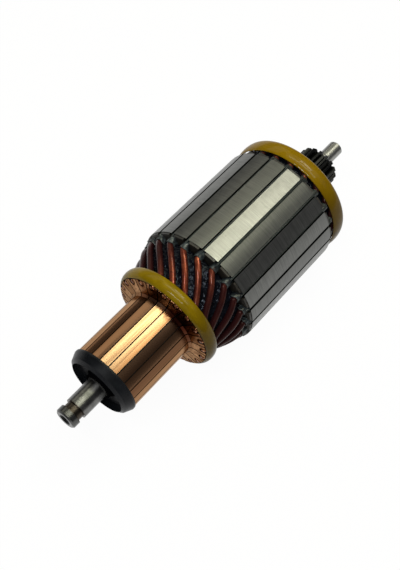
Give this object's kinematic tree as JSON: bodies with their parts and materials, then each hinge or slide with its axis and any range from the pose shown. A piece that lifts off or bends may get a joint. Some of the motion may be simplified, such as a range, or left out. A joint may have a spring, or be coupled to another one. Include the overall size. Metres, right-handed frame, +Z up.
{
  "type": "starter motor armature",
  "caption": "Armature of a gear-reduction starter motor: copper commutator, laminated core with a hairpin winding, resin bands and a shaft with a sun pinion.",
  "frame": {"origin": "on the shaft's axis, in the middle of the bearing journal at the commutator end", "axes": "+X along the shaft from the commutator to the pinion, +Z up through slot 1 and commutator bar 1, +Y completes the right-handed set"},
  "size_m": [0.2047, 0.066, 0.066],
  "materials": {
    "shaft_steel": "machined",
    "core_steel": "turned, thinly varnished",
    "copper": "turned copper",
    "black_moulding": "moulded phenolic",
    "wire_enamel": "enamelled copper wire",
    "band_resin": "glass-fibre band soaked in resin",
    "liner_paper": "insulating paper",
    "fibre": "vulcanised fibre"
  },
  "bodies": {
    "root": {"armature_shaft": "shaft_steel", "commutator_bar_01": "copper", "commutator_bar_02": "copper", "commutator_bar_03": "copper", "commutator_bar_04": "copper", "commutator_bar_05": "copper", "commutator_bar_06": "copper", "commutator_bar_07": "copper", "commutator_bar_08": "copper", "commutator_bar_09": "copper", "commutator_bar_10": "copper", "commutator_bar_11": "copper", "commutator_bar_12": "copper", "commutator_bar_13": "copper", "commutator_bar_14": "copper", "commutator_bar_15": "copper", "commutator_bar_16": "copper", "commutator_bar_17": "copper", "commutator_bar_18": "copper", "commutator_bar_19": "copper", "commutator_bar_20": "copper", "commutator_bar_21": "copper", "commutator_bar_22": "copper", "commutator_hub": "black_moulding", "end_disc_commutator_side": "fibre", "end_disc_pinion_side": "fibre", "hairpin_01": "wire_enamel", "hairpin_02": "wire_enamel", "hairpin_03": "wire_enamel", "hairpin_04": "wire_enamel", "hairpin_05": "wire_enamel", "hairpin_06": "wire_enamel", "hairpin_07": "wire_enamel", "hairpin_08": "wire_enamel", "hairpin_09": "wire_enamel", "hairpin_10": "wire_enamel", "hairpin_11": "wire_enamel", "hairpin_12": "wire_enamel", "hairpin_13": "wire_enamel", "hairpin_14": "wire_enamel", "hairpin_15": "wire_enamel", "hairpin_16": "wire_enamel", "hairpin_17": "wire_enamel", "hairpin_18": "wire_enamel", "hairpin_19": "wire_enamel", "hairpin_20": "wire_enamel", "hairpin_21": "wire_enamel", "hairpin_22": "wire_enamel", "lamination_stack": "core_steel", "resin_band_commutator_side": "band_resin", "resin_band_pinion_side": "band_resin", "slot_liners": "liner_paper"}
  },
  "joints": []
}
